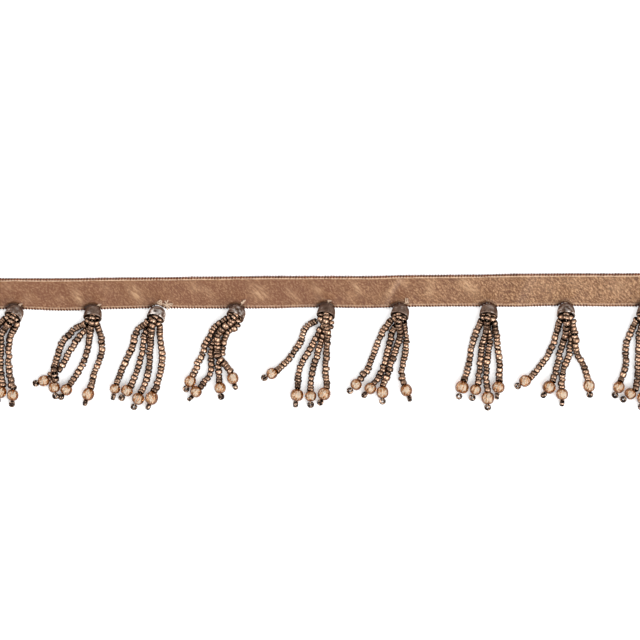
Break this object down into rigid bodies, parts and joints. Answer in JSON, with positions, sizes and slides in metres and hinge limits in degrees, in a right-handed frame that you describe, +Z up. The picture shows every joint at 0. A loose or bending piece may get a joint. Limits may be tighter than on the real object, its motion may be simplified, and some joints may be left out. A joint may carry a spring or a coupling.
{
  "type": "length of beaded fringe trim",
  "caption": "Flat cut length of satin ribbon with beaded tassels: metal caps, strings of seed beads, faceted glass drop beads and small stop beads.",
  "frame": {"origin": "middle of the ribbon's flat underside", "axes": "+X along the ribbon, +Y across it and away from the tassels, +Z up from the surface it lies on"},
  "size_m": [0.228, 0.0413, 0.0071],
  "materials": {
    "satin_ribbon": "brown satin weave",
    "cap_metal": "dark pewter, worn shine",
    "seed_beads": "bronze lustre on opaque glass",
    "drop_beads": "peach glass, faceted, with fine cracks",
    "stop_beads": "darker bronze lustre",
    "thread": "pale beige sewing thread"
  },
  "bodies": {
    "root": {"ribbon": "satin_ribbon", "cap_1": "cap_metal", "cap_2": "cap_metal", "cap_3": "cap_metal", "cap_4": "cap_metal", "cap_5": "cap_metal", "cap_6": "cap_metal", "cap_7": "cap_metal", "cap_8": "cap_metal", "cap_9": "cap_metal", "tassel_1": "seed_beads", "tassel_2": "seed_beads", "tassel_3": "seed_beads", "tassel_4": "seed_beads", "tassel_5": "seed_beads", "tassel_6": "seed_beads", "tassel_7": "seed_beads", "tassel_8": "seed_beads", "tassel_9": "seed_beads", "drop_1_left": "drop_beads", "drop_1_right": "drop_beads", "drop_1_top": "drop_beads", "drop_1_under": "drop_beads", "drop_2_left": "drop_beads", "drop_2_right": "drop_beads", "drop_2_top": "drop_beads", "drop_2_under": "drop_beads", "drop_3_left": "drop_beads", "drop_3_right": "drop_beads", "drop_3_top": "drop_beads", "drop_3_under": "drop_beads", "drop_4_left": "drop_beads", "drop_4_right": "drop_beads", "drop_4_top": "drop_beads", "drop_4_under": "drop_beads", "drop_5_left": "drop_beads", "drop_5_right": "drop_beads", "drop_5_top": "drop_beads", "drop_5_under": "drop_beads", "drop_6_left": "drop_beads", "drop_6_right": "drop_beads", "drop_6_top": "drop_beads", "drop_6_under": "drop_beads", "drop_7_left": "drop_beads", "drop_7_right": "drop_beads", "drop_7_top": "drop_beads", "drop_7_under": "drop_beads", "drop_8_left": "drop_beads", "drop_8_right": "drop_beads", "drop_8_top": "drop_beads", "drop_8_under": "drop_beads", "drop_9_left": "drop_beads", "drop_9_right": "drop_beads", "drop_9_top": "drop_beads", "drop_9_under": "drop_beads"}
  },
  "joints": []
}
